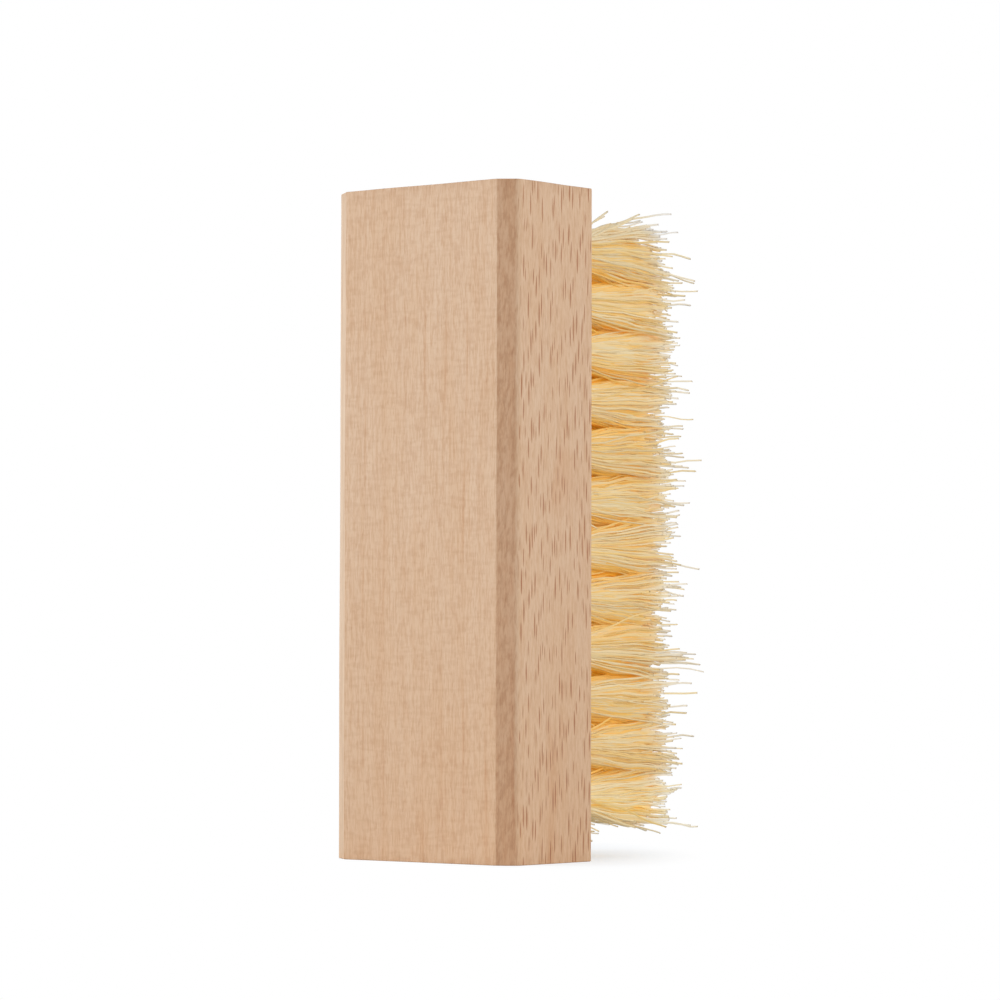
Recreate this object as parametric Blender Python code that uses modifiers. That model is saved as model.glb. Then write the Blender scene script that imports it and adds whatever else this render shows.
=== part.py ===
"""Wooden hand brush for shoes, standing on its end.

A one-piece beech block has a grid of blind holes drilled into its bristle face. Each hole holds one
tuft: a bundle of stiff plant fibre, folded in half over a flat wire anchor whose ends bite into the
wall of the hole. The block stands on its lower end, its plain back looks along -Y, and the bristles
point along +Y. The origin is the middle of the lower end face. Lengths are in metres.
"""

import math
import random

import bmesh
import bpy
from mathutils import Matrix, Vector

# Block
BLOCK_LENGTH = 0.130
BLOCK_WIDTH = 0.045
BLOCK_THICKNESS = 0.025
CHAMFER_ON_BACK = 0.0036
CHAMFER_ON_SIDE = 0.0028
EDGE_ROUNDING = 0.0006

# Grid of tuft holes
TUFTS_ALONG = 12
TUFTS_ACROSS = 4
END_MARGIN = 0.0122
SIDE_MARGIN = 0.0075
HOLE_DIAMETER = 0.0055
HOLE_DEPTH = 0.015
HOLE_SIDES = 8

# Flat wire anchor
ANCHOR_THICKNESS = 0.0005
ANCHOR_HEIGHT = 0.002
ANCHOR_BITE = 0.0005
FOLD_THICKNESS = 0.0012

# Bristle strands of one tuft, each a lock of fibres that swells to its belly and ends in a point
TRIM_LENGTH = 0.028
TRIM_SPREAD = 0.0015
STRANDS_PER_SIDE = 3
STRAND_SIDES = 3
BELLY_AT = 0.6
BELLY_FILL = 0.85
TIP_WANDER = 0.0004
ROOT_SINK = 0.001
END_LEAN = 0.0006
SIDE_LEAN = 0.002
LEAN_POWER = 5

# Room that neighbouring solids keep, and how far a cutter runs past the face it opens
CLEARANCE = 0.0003
CUT_PAST_FACE = 0.001

# Values that follow from the ones above
BRISTLE_FACE = BLOCK_THICKNESS / 2
PITCH_ALONG = (BLOCK_LENGTH - 2 * END_MARGIN) / (TUFTS_ALONG - 1)
PITCH_ACROSS = (BLOCK_WIDTH - 2 * SIDE_MARGIN) / (TUFTS_ACROSS - 1)
HOLE_RADIUS = HOLE_DIAMETER / 2
ROOT_RADIUS = HOLE_RADIUS - CLEARANCE
ANCHOR_LENGTH = HOLE_DIAMETER + 2 * ANCHOR_BITE
ANCHOR_LEVEL = -HOLE_DEPTH + CLEARANCE + FOLD_THICKNESS + ANCHOR_HEIGHT / 2

# The strands stand in a square grid. Its corner strands fit inside the root, and its outer tips
# stay inside the tuft's own cell of the hole grid, so that no two strands anywhere can cross
GRID_REACH = (STRANDS_PER_SIDE - 1) / 2
ROOT_STEP = ROOT_RADIUS / (GRID_REACH * math.sqrt(2) + 0.5)
ROOT_STRAND_RADIUS = (ROOT_STEP - CLEARANCE) / 2
HALF_CELL = (min(PITCH_ALONG, PITCH_ACROSS) - CLEARANCE) / 2
TIP_STEP = (HALF_CELL - TIP_WANDER) / GRID_REACH
BELLY_STEP = ROOT_STEP + BELLY_AT * (TIP_STEP - ROOT_STEP)
ROOM_BETWEEN_BELLIES = BELLY_STEP / 2 - BELLY_AT * TIP_WANDER
ROOM_AT_CELL_EDGE = GRID_REACH * (TIP_STEP - BELLY_STEP) + (1 - BELLY_AT) * TIP_WANDER
BELLY_RADIUS = BELLY_FILL * min(ROOM_BETWEEN_BELLIES, ROOM_AT_CELL_EDGE)

# A tuft is modelled along its own +Z, and this turn lays that axis along the world's +Y
HOLE_TURN = Matrix.Rotation(math.radians(-90), 4, "X")


def clear_scene():
    """Removes what the startup file holds."""
    for obj in list(bpy.data.objects):
        bpy.data.objects.remove(obj, do_unlink=True)


def new_collection(name):
    collection = bpy.data.collections.new(name)
    bpy.context.scene.collection.children.link(collection)
    return collection


def plain_material(name, color, roughness):
    """A Principled material of one colour, in linear values."""
    material = bpy.data.materials.new(name)
    material.use_nodes = True
    shader = material.node_tree.nodes["Principled BSDF"]
    shader.inputs["Base Color"].default_value = (*color, 1.0)
    shader.inputs["Roughness"].default_value = roughness
    shader.inputs["Metallic"].default_value = 0.0
    material.diffuse_color = (*color, 1.0)
    return material


def object_from_bmesh(name, bm, collection, material=None):
    """Turns a bmesh into a named object and frees the bmesh."""
    mesh = bpy.data.meshes.new(name)
    bm.to_mesh(mesh)
    bm.free()
    obj = bpy.data.objects.new(name, mesh)
    if material:
        mesh.materials.append(material)
    collection.objects.link(obj)
    return obj


def as_helper(obj):
    """Marks an object as a cutter: it shapes another one and isn't part of the brush."""
    obj.hide_render = True
    obj.display_type = "WIRE"
    return obj


def hole_places():
    """Row, column and centre of each hole mouth. Rows run along the block, columns across it."""
    for row in range(TUFTS_ACROSS):
        x = (row - (TUFTS_ACROSS - 1) / 2) * PITCH_ACROSS
        for column in range(TUFTS_ALONG):
            z = BLOCK_LENGTH / 2 + (column - (TUFTS_ALONG - 1) / 2) * PITCH_ALONG
            yield row, column, Vector((x, BRISTLE_FACE, z))


def add_drum(bm, radius, bottom, top, matrix):
    """A closed prism whose flats lie at the radius. A flat, not a corner, faces the anchor's ends."""
    half_side = math.pi / HOLE_SIDES
    corner_radius = radius / math.cos(half_side)
    lift = Matrix.Translation((0, 0, (bottom + top) / 2))
    bmesh.ops.create_cone(
        bm,
        cap_ends=True,
        segments=HOLE_SIDES,
        radius1=corner_radius,
        radius2=corner_radius,
        depth=top - bottom,
        matrix=matrix @ lift @ Matrix.Rotation(half_side, 4, "Z"),
    )


def add_anchor_bar(bm, room, matrix):
    """The flat wire anchor, grown by room on every side. Its length lies along the block's length."""
    size = (ANCHOR_THICKNESS + 2 * room, ANCHOR_LENGTH + 2 * room, ANCHOR_HEIGHT + 2 * room)
    place = Matrix.Translation((0, 0, ANCHOR_LEVEL))
    bmesh.ops.create_cube(bm, size=1.0, matrix=matrix @ place @ Matrix.Diagonal((*size, 1.0)))


def make_hole_cutters(collection):
    """One object with all the round holes, and one with the pockets that the anchors bite."""
    holes, pockets = bmesh.new(), bmesh.new()
    for _, _, mouth in hole_places():
        place = Matrix.Translation(mouth) @ HOLE_TURN
        add_drum(holes, HOLE_RADIUS, -HOLE_DEPTH, CUT_PAST_FACE, place)
        add_anchor_bar(pockets, CLEARANCE, place)
    return [
        as_helper(object_from_bmesh("hole_cutter", holes, collection)),
        as_helper(object_from_bmesh("anchor_pocket_cutter", pockets, collection)),
    ]


def block_outline():
    """Corners of the block's section, seen from its upper end, with the two chamfers at the back."""
    side = BLOCK_WIDTH / 2
    back, front = -BLOCK_THICKNESS / 2, BLOCK_THICKNESS / 2
    return [
        (-side + CHAMFER_ON_BACK, back),
        (side - CHAMFER_ON_BACK, back),
        (side, back + CHAMFER_ON_SIDE),
        (side, front),
        (-side, front),
        (-side, back + CHAMFER_ON_SIDE),
    ]


def make_block(collection, cutters, material):
    """The handle: the outline drawn out along the length, all edges eased, and the holes cut."""
    bm = bmesh.new()
    lower = [bm.verts.new((x, y, 0)) for x, y in block_outline()]
    upper = [bm.verts.new((x, y, BLOCK_LENGTH)) for x, y in block_outline()]
    bm.faces.new(reversed(lower))
    bm.faces.new(upper)
    for i in range(len(lower)):
        following = (i + 1) % len(lower)
        bm.faces.new((lower[i], lower[following], upper[following], upper[i]))
    block = object_from_bmesh("wood_block", bm, collection, material)
    easing = block.modifiers.new("eased edges", "BEVEL")
    easing.width = EDGE_ROUNDING
    easing.segments = 2
    easing.limit_method = "ANGLE"
    easing.angle_limit = math.radians(30)
    for cutter in cutters:
        cut = block.modifiers.new(cutter.name, "BOOLEAN")
        cut.operation = "DIFFERENCE"
        cut.object = cutter
    return block


def strand_template():
    """A pointed strand from z = 0 to z = 1: a spike of three sides with a ring of corners at its belly.

    The spike is cut across at the belly, and each ring is then brought to its own real radius.
    """
    bm = bmesh.new()
    bmesh.ops.create_cone(
        bm,
        cap_ends=True,
        segments=STRAND_SIDES,
        radius1=1.0,
        radius2=0.0,
        depth=1.0,
        matrix=Matrix.Translation((0, 0, 0.5)),
    )
    everything = bm.verts[:] + bm.edges[:] + bm.faces[:]
    bmesh.ops.bisect_plane(bm, geom=everything, plane_co=(0, 0, BELLY_AT), plane_no=(0, 0, 1))
    for vert in bm.verts:
        level = vert.co.z
        spike_radius = 1.0 - level
        if spike_radius > 0:
            radius = ROOT_STRAND_RADIUS if level < BELLY_AT / 2 else BELLY_RADIUS
            vert.co.x *= radius / spike_radius
            vert.co.y *= radius / spike_radius
    mesh = bpy.data.meshes.new("strand_template")
    bm.to_mesh(mesh)
    bm.free()
    return mesh


def add_strand(bm, template, root, tip, spin):
    """Copies the template, turns it about its axis and carries its rings from root to tip."""
    first_new = len(bm.verts)
    bm.from_mesh(template)
    bm.verts.ensure_lookup_table()
    turn = Matrix.Rotation(spin, 3, "Z")
    for vert in bm.verts[first_new:]:
        across = turn @ Vector((vert.co.x, vert.co.y, 0))
        vert.co = root.lerp(tip, vert.co.z) + across


def tuft_lean(row, column):
    """How far a tuft's tips stand out past its root: only the tufts round the rim lean.

    The turn that lays a tuft down sends its own +Y to the world's -Z, so the lean along is reversed.
    """
    across = 2 * row / (TUFTS_ACROSS - 1) - 1
    along = 2 * column / (TUFTS_ALONG - 1) - 1
    return Vector((SIDE_LEAN * across**LEAN_POWER, -END_LEAN * along**LEAN_POWER, 0))


def make_tuft(row, column, mouth, template, collection, cutters, material):
    """One folded bundle: its root in the hole, the anchor through the fold, and its strands."""
    chance = random.Random(TUFTS_ALONG * row + column)
    lean = tuft_lean(row, column)
    extras = bmesh.new()
    for i in range(STRANDS_PER_SIDE):
        for j in range(STRANDS_PER_SIDE):
            place = Vector((i - GRID_REACH, j - GRID_REACH, 0))
            wander = Vector((chance.uniform(-1, 1), chance.uniform(-1, 1), 0)) * TIP_WANDER
            length = TRIM_LENGTH + chance.uniform(-1, 1) * TRIM_SPREAD
            mouth_end = place * ROOT_STEP
            tip = place * TIP_STEP + wander + lean + Vector((0, 0, length))
            sunk_end = mouth_end.lerp(tip, -ROOT_SINK / length)
            add_strand(extras, template, sunk_end, tip, chance.uniform(0, math.tau))
    add_anchor_bar(extras, 0.0, Matrix.Identity(4))
    extra = as_helper(object_from_bmesh("tuft_extras", extras, cutters))

    bundle = bmesh.new()
    add_drum(bundle, ROOT_RADIUS, -HOLE_DEPTH + CLEARANCE, 0.0, Matrix.Identity(4))
    name = f"tuft_row{row + 1}_{column + 1:02d}"
    tuft = object_from_bmesh(name, bundle, collection, material)
    join = tuft.modifiers.new("strands and anchor", "BOOLEAN")
    join.operation = "UNION"
    join.object = extra

    bpy.context.view_layer.update()
    graph = bpy.context.evaluated_depsgraph_get()
    joined = bpy.data.meshes.new_from_object(tuft.evaluated_get(graph))
    tuft.modifiers.clear()
    tuft.data = joined
    bpy.data.objects.remove(extra, do_unlink=True)
    tuft.matrix_world = Matrix.Translation(mouth) @ HOLE_TURN
    return tuft


def main():
    clear_scene()
    brush = new_collection("shoe_brush")
    cutters = new_collection("cutters")
    beech = plain_material("beech", (0.68, 0.47, 0.32), 0.6)
    fibre = plain_material("plant_fibre", (0.75, 0.52, 0.24), 0.55)
    make_block(brush, make_hole_cutters(cutters), beech)
    template = strand_template()
    for row, column, mouth in hole_places():
        make_tuft(row, column, mouth, template, brush, cutters, fibre)


main()
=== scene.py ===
# %% [markdown]
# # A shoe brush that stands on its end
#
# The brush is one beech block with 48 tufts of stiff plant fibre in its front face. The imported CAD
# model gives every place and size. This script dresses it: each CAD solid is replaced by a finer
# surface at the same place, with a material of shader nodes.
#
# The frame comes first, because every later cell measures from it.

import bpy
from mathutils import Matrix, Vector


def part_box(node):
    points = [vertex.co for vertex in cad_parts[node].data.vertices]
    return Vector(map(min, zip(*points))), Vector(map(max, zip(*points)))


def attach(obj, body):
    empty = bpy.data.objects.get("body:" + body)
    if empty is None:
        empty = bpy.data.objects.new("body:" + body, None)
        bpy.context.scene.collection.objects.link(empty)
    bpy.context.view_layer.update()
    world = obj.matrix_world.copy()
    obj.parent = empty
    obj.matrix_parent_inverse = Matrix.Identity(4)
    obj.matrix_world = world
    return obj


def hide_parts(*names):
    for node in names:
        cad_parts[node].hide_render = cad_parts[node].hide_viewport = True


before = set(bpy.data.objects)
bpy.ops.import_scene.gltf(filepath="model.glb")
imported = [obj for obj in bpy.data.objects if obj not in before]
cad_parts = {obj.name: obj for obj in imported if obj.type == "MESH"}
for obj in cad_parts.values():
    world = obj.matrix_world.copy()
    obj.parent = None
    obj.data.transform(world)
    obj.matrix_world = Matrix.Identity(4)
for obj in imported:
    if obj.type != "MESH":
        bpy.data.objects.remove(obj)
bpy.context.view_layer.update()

# %% Tools and units
import math

import bmesh
import bpy
import numpy as np
from mathutils import Matrix, Vector

# Arrays of points are in millimetres, and metres come in only where a mesh is made
MM = 0.001

# %% [markdown]
# # Camera
#
# The photograph was taken from low down and from far away, so the upright edges look parallel and
# neither end face shows. Azimuth 0 would look straight at the wide back. The camera stands 39 degrees
# to the right of that, level with the lower part of the brush, and tilts up by two degrees. The
# numbers were fitted to the block's visible corners first, and then to all of its edges.

# %% Place the camera
CAMERA_AZIMUTH, CAMERA_ELEVATION, CAMERA_ROLL = 38.798, -2.0677, -0.1253
CAMERA_DISTANCE = 0.82513
AIM_RIGHT, AIM_HEIGHT = 0.007606, 0.069751
LENS_MM, SENSOR_MM = 153.03, 36.0


def add_object(name, data):
    """Puts a mesh, a lamp or a camera into the scene."""
    item = bpy.data.objects.new(name, data)
    bpy.context.scene.collection.objects.link(item)
    return item


def direction(azimuth, elevation):
    """The unit vector from the brush towards a place. Azimuth 0 faces the wide back squarely."""
    turn, lift = math.radians(azimuth), math.radians(elevation)
    return Vector((math.sin(turn) * math.cos(lift), -math.cos(turn) * math.cos(lift), math.sin(lift)))


backward = direction(CAMERA_AZIMUTH, CAMERA_ELEVATION)
rightward = direction(CAMERA_AZIMUTH + 90, 0)
upward = backward.cross(rightward)
roll_cos, roll_sin = math.cos(math.radians(CAMERA_ROLL)), math.sin(math.radians(CAMERA_ROLL))
rolled = (roll_cos * rightward - roll_sin * upward, roll_sin * rightward + roll_cos * upward)
axes = Matrix((*rolled, backward)).transposed()
aim = Vector((0.0, 0.0, AIM_HEIGHT)) + AIM_RIGHT * rightward

camera_data = bpy.data.cameras.new("camera")
camera_data.lens = LENS_MM
camera_data.sensor_width = SENSOR_MM
camera_data.clip_end = 20.0
camera = add_object("camera", camera_data)
camera.matrix_world = Matrix.Translation(aim + CAMERA_DISTANCE * backward) @ axes.to_4x4()
bpy.context.scene.camera = camera
bpy.context.scene.view_settings.view_transform = "Standard"
print("camera at", [round(v, 4) for v in camera.location])

# %% [markdown]
# # Small helpers for shader nodes
#
# A material here is a stack of simple masks: streaks, dashes, rings. Each mask is a few Math nodes
# after a texture. Linking these by hand takes many lines, so one helper adds a node, sets its
# properties and sets or links its inputs in one call.

# %% Node helpers
WHITE = (1.0, 1.0, 1.0, 1.0)


def add_node(tree, kind, inputs=None, **properties):
    """Adds a shader node. An input is a value to set on it, or a socket or a node to link to it."""
    node = tree.nodes.new("ShaderNode" + kind)
    for name, value in properties.items():
        setattr(node, name, value)
    for key, value in (inputs or {}).items():
        if isinstance(value, bpy.types.Node):
            value = value.outputs[0]
        if isinstance(value, bpy.types.NodeSocket):
            tree.links.new(value, node.inputs[key])
        else:
            node.inputs[key].default_value = value
    return node


def math_node(tree, operation, *values):
    """One Math node, and the socket with its result."""
    return add_node(tree, "Math", dict(enumerate(values)), operation=operation).outputs[0]


def times(tree, first, *others):
    """The product of two or more values."""
    for other in others:
        first = math_node(tree, "MULTIPLY", first, other)
    return first


def smooth_step(tree, value, start, end, low=0.0, high=1.0):
    """Runs smoothly from low to high while value goes from start to end."""
    inputs = {"Value": value, "From Min": start, "From Max": end, "To Min": low, "To Max": high}
    return add_node(tree, "MapRange", inputs, interpolation_type="SMOOTHSTEP").outputs["Result"]


def noise(tree, vector, detail=2.0, roughness=0.5):
    """Noise at scale 1 about 0.5, so that the vector alone sets how coarse it is."""
    inputs = {"Vector": vector, "Scale": 1.0, "Detail": detail, "Roughness": roughness}
    return add_node(tree, "TexNoise", inputs, noise_dimensions="3D").outputs["Fac"]


def scaled(tree, vector, factors):
    """The vector times three factors, so a factor of 0.1 stretches a pattern tenfold."""
    return add_node(tree, "VectorMath", {0: vector, 1: factors}, operation="MULTIPLY").outputs[0]


def blend_colours(tree, amount, first, second, kind):
    """Goes from the first colour to the second, or to their product, by the given amount."""
    first, second = ((*c, 1.0) if isinstance(c, tuple) else c for c in (first, second))
    # A Mix node has a pair of inputs for each kind of data. The colours are its fourth pair
    inputs = {"Factor": amount, 6: first, 7: second}
    return add_node(tree, "Mix", inputs, data_type="RGBA", blend_type=kind).outputs[2]


def layered(tree, colour, layers):
    """Lays one layer after another on a colour: by an amount, a tint multiplies or "MIX" covers it."""
    for amount, shade, *kind in layers:
        colour = blend_colours(tree, amount, colour, shade, *(kind or ["MULTIPLY"]))
    return colour


def linear(red, green, blue):
    """A colour picked in a picture, from 0 to 255, as the linear values that shaders use."""
    share = np.array([red, green, blue]) / 255.0
    low, high = share / 12.92, ((share + 0.055) / 1.055) ** 2.4
    return tuple(float(v) for v in np.where(share <= 0.04045, low, high))


def empty_tree(owner):
    """Turns on the nodes of a material or a world, and clears them."""
    owner.use_nodes = True
    owner.node_tree.nodes.clear()
    return owner.node_tree


def new_material(name, roughness):
    """A material with one Principled shader and its output."""
    material = bpy.data.materials.new(name)
    tree = empty_tree(material)
    shader = add_node(tree, "BsdfPrincipled", {"Roughness": roughness})
    add_node(tree, "OutputMaterial", {"Surface": shader})
    return material, tree, shader


# %% [markdown]
# # Floor, backdrop and light
#
# A product photograph on white has a floor and a backdrop that fade into each other. The world is
# plain white to the camera, and a weaker white as light. The floor is an ordinary pale surface for the
# light that bounces off it. The camera sees it nearly white: a small share of its real shading is left,
# which ends at a long ellipse round the brush, so the shadow stays faint.
#
# In the photograph the wide back and the side are both bright, and the chamfer between them, which
# looks straight at the camera, is the darkest. So the light comes from two sides: a broad lamp at the
# front left and a weaker one at the back right. The third lamp, near the camera, casts no shadow. It
# stands for the light that real fibres pass on to each other, far into the gaps between the tufts.
# Suns with a wide angle stand for soft boxes far away.

# %% Floor
FLOOR_REACH = 4.0
FLOOR_PALE, FLOOR_FAINT, FLOOR_GLOW = (0.85, 0.85, 0.85, 1.0), (0.56, 0.61, 0.67, 1.0), 0.52
FADE_CENTRE, FADE_SIZE, FADE_START = (-0.002, 0.030, 0.0), (0.032, 0.07, 1.0), 0.25
FADE_TURN = (0.0, 0.0, math.radians(38.8))


def make_floor():
    """A square that is a pale surface to the light, and to the camera a glow with faint shading.

    The share of plain white is a smooth step of the distance from the fade's centre, in the fade's
    own turned and stretched axes.
    """
    material = bpy.data.materials.new("studio_floor")
    tree = empty_tree(material)
    pale, faint = (add_node(tree, "BsdfDiffuse", {"Color": c}) for c in (FLOOR_PALE, FLOOR_FAINT))
    glow, white = (add_node(tree, "Emission", {"Color": WHITE, "Strength": s}) for s in (FLOOR_GLOW, 1))
    seen = add_node(tree, "AddShader", {0: faint, 1: glow})
    place = add_node(tree, "TexCoord").outputs["Object"]
    fade = {"Vector": place, "Location": FADE_CENTRE, "Rotation": FADE_TURN, "Scale": FADE_SIZE}
    turned = add_node(tree, "Mapping", fade, vector_type="TEXTURE")
    distance = add_node(tree, "VectorMath", {0: turned}, operation="LENGTH")
    away = smooth_step(tree, distance.outputs["Value"], FADE_START, 1.0)
    seen = add_node(tree, "MixShader", {0: away, 1: seen, 2: white})
    looked_at = add_node(tree, "LightPath").outputs["Is Camera Ray"]
    mix = add_node(tree, "MixShader", {0: looked_at, 1: pale, 2: seen})
    add_node(tree, "OutputMaterial", {"Surface": mix})

    mesh = bpy.data.meshes.new("floor")
    corners = [(-1, -1), (1, -1), (1, 1), (-1, 1)]
    mesh.from_pydata([(x * FLOOR_REACH, y * FLOOR_REACH, 0) for x, y in corners], [], [(0, 1, 2, 3)])
    mesh.materials.append(material)
    return add_object("floor", mesh)


floor = make_floor()
print("floor:", [round(v, 1) for v in floor.dimensions])

# %% World and lamps
WORLD_LIGHT = 0.31
# Name, azimuth, elevation, strength, width in degrees, whether it casts shadows
LAMPS = (
    ("front_left_lamp", -50, 20, 1.73, 35, True),
    ("back_right_lamp", 128, 20, 1.24, 45, True),
    ("front_right_lamp", 42, 4, 1.0, 30, False),
)

world = bpy.data.worlds.new("studio")
bpy.context.scene.world = world
tree = empty_tree(world)
ambient = add_node(tree, "Background", {"Color": WHITE, "Strength": WORLD_LIGHT})
backdrop = add_node(tree, "Background", {"Color": WHITE, "Strength": 1.0})
path = add_node(tree, "LightPath").outputs
seen = math_node(tree, "MAXIMUM", path["Is Camera Ray"], path["Is Glossy Ray"])
seen = math_node(tree, "MAXIMUM", seen, path["Is Transmission Ray"])
mix = add_node(tree, "MixShader", {0: seen, 1: ambient, 2: backdrop})
add_node(tree, "OutputWorld", {"Surface": mix})

for name, azimuth, elevation, strength, width, shadow in LAMPS:
    lamp = bpy.data.lights.new(name, "SUN")
    lamp.energy = strength
    lamp.angle = math.radians(width)
    lamp.use_shadow = shadow
    sun = add_object(name, lamp)
    sun.rotation_mode = "QUATERNION"
    sun.rotation_quaternion = direction(azimuth, elevation).to_track_quat("Z", "Y")
print("lamps:", len(LAMPS))

# %% [markdown]
# # The shape of the block
#
# The real block is sawn and planed from one board. Its two long back edges are chamfered, and all
# edges are eased by sanding, which leaves them round and not quite straight. A Bevel modifier on a
# box would give every edge the same perfect curve, and it can't place the 48 holes.
#
# So the block is worked out as surfaces. Its section is an outline of six corners with round corners.
# The two chamfers differ a little, because each was fitted to its own edge in the photograph.
# Carried along the length the outline gives the wrap. Shrunk and lowered in a quarter circle it gives
# the eased ends. The front face is a grid of 48 cells, each running from a rectangle to the round
# mouth of a hole and down its wall. All patches share their edge points, so they weld into one skin.

# %% Measure the block in the frame
block_low, block_high = (np.array(corner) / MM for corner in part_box("wood_block"))
BLOCK_WIDTH, BLOCK_THICKNESS, BLOCK_LENGTH = (float(v) for v in block_high - block_low)
FRONT = float(block_high[1])
CHAMFER_ON_BACK, CHAMFER_ON_LEFT, CHAMFER_ON_RIGHT = 3.6, 2.65, 2.4
CORNER_ROUND = (0.3, 0.4, 0.3, 0.6, 1.9, 0.3)
FRONT_ROUND, END_ROUND, MOUTH_ROUND = 0.3, 0.22, 0.15
HOLE_RADIUS, HOLE_DEPTH = 2.75, 15.0
ROWS, COLUMNS = 4, 12
CELL_STEPS = 8
print("block:", [round(v, 2) for v in (BLOCK_WIDTH, BLOCK_THICKNESS, BLOCK_LENGTH)])


# %% Where the tufts stand
def read_vectors(items, name):
    """One vector of every vertex or normal, as an array."""
    values = np.empty(len(items) * 3, np.float32)
    items.foreach_get(name, values)
    return values.reshape(-1, 3)


def root_centre(node):
    """The axis of a tuft: the middle of its CAD solid's part that is well inside the hole."""
    points = read_vectors(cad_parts[node].data.vertices, "co") / MM
    inside = points[points[:, 1] < FRONT - 2.0]
    middle = (inside.min(0) + inside.max(0)) / 2
    return middle[0], middle[2]


TUFTS = {
    (row, column): f"tuft_row{row + 1}_{column + 1:02d}"
    for row in range(ROWS)
    for column in range(COLUMNS)
}
tuft_axes = {place: root_centre(node) for place, node in TUFTS.items()}
row_x = np.array([tuft_axes[row, 0][0] for row in range(ROWS)])
column_z = np.array([tuft_axes[0, column][1] for column in range(COLUMNS)])
print("rows at x =", row_x.round(2), "columns from z =", column_z[[0, -1]].round(2))


# %% Outline of the section
def section_outline(front_stops, arc_steps=7, spacing=3.0, margin=0.8):
    """Base points, outward directions, radii and edge marks of the outline.

    A point is its base plus the radius times its direction. At a corner the base stays and the
    direction turns. On a straight edge the base moves, the direction stays and the radius runs from
    one corner's to the next one's. The six corners go from the front left round the back to the
    front right, and the front edge comes last, at the given x values.
    """
    side, half = BLOCK_WIDTH / 2, BLOCK_THICKNESS / 2
    left = [(-side, half), (-side, -half + CHAMFER_ON_LEFT), (-side + CHAMFER_ON_BACK, -half)]
    right = [(side - CHAMFER_ON_BACK, -half), (side, -half + CHAMFER_ON_RIGHT), (side, half)]
    corners = np.array(left + right)
    run = np.roll(corners, -1, axis=0) - corners
    length = np.linalg.norm(run, axis=1)
    out = np.stack([run[:, 1], -run[:, 0]], axis=1) / length[:, None]
    before = np.roll(out, 1, axis=0)
    pull_in = (before + out) / (1 + (before * out).sum(1))[:, None]
    radii = np.array(CORNER_ROUND)
    centres = corners - radii[:, None] * pull_in
    parts = []
    for i in range(len(corners)):
        turn = math.acos(float(np.clip(before[i] @ out[i], -1, 1)))
        start = math.atan2(before[i][1], before[i][0])
        angles = start + turn * np.linspace(0, 1, arc_steps)
        round_out = np.stack([np.cos(angles), np.sin(angles)], axis=1)
        parts.append((centres[i], round_out, radii[i], 1.0, arc_steps))
        if i == len(corners) - 1:
            break
        share = margin / length[i]
        inner = np.linspace(share, 1 - share, max(2, round(length[i] / spacing)))
        base = centres[i] + inner[:, None] * (centres[i + 1] - centres[i])
        parts.append((base, out[i], radii[i] + inner * (radii[i + 1] - radii[i]), 0.0, len(inner)))
    path_length = sum(part[-1] for part in parts)
    front = np.stack([front_stops, np.full(len(front_stops), FRONT - FRONT_ROUND)], axis=1)
    parts.append((front, np.array([0.0, 1.0]), FRONT_ROUND, 1.0, len(front_stops)))
    whole = []
    for index, wide in enumerate(((2,), (2,), (), ())):
        whole.append(np.concatenate([np.broadcast_to(p[index], (p[-1], *wide)) for p in parts]))
    return whole + [path_length]


def cell_lines(low, high, middles):
    """Grid lines between neighbouring holes, and each cell cut into equal steps."""
    lines = np.concatenate([[low], (middles[1:] + middles[:-1]) / 2, [high]])
    cells = [np.linspace(a, b, CELL_STEPS, endpoint=False) for a, b in zip(lines, lines[1:])]
    return lines, np.append(np.concatenate(cells), high)


inner_side = BLOCK_WIDTH / 2 - FRONT_ROUND
x_lines, x_stops = cell_lines(-inner_side, inner_side, row_x)
z_lines, z_stops = cell_lines(END_ROUND, BLOCK_LENGTH - END_ROUND, column_z)
outline = section_outline(x_stops[-2:0:-1])
outline_base, outline_out, outline_radius, outline_mark, path_points = outline
print("outline points:", len(outline_base), "of which round the back:", path_points)

# %% Wrap and eased ends
SANDED = 0.025
# How dark the material makes each place: wear on the long edges, wear and painted shade on the eased
# ends, and painted shade at the hole mouths
SAWN_CORNER_WEAR_AND_SHADE, EDGE_WEAR, MOUTH_SHADE = 1.0, 0.1, 0.6
CAP_SHARES = (0.96, 0.85, 0.6, 0.3, 0.0)


def wobble(base, z):
    """How far hand sanding moved the skin out or in: slow waves, and none near the front face."""
    waves = np.sin(z / 9.0 + 0.7 * base[..., 0]) + np.sin(z / 21.0 + 1.9 + 0.2 * base[..., 1])
    return SANDED * waves * np.clip((FRONT - 4.0 - base[..., 1]) / 6.0, 0, 1)


def skin(base, out, radius, inset, z):
    """Points of the outline at height z, pulled in by inset: base + (radius - inset + wobble) out."""
    base = np.broadcast_to(base, (*z.shape, 2))
    offset = radius - inset + wobble(base, np.clip(z, END_ROUND, BLOCK_LENGTH - END_ROUND))
    return np.concatenate([base + offset[..., None] * out, z[..., None]], axis=-1)


def ring_quads(rings, sides):
    """Corner numbers of the quads round a tube of rings, as an array of ring, side and corner."""
    here = (np.arange(rings - 1) * sides)[:, None] + np.arange(sides)
    after = np.roll(here, -1, axis=1)
    return np.stack([here, after, after + sides, here + sides], axis=-1)


def grid_quads(rows, columns):
    """The same for a flat grid, where the last column isn't joined to the first."""
    return ring_quads(rows, columns)[:, :-1].reshape(-1, 4)


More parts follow.
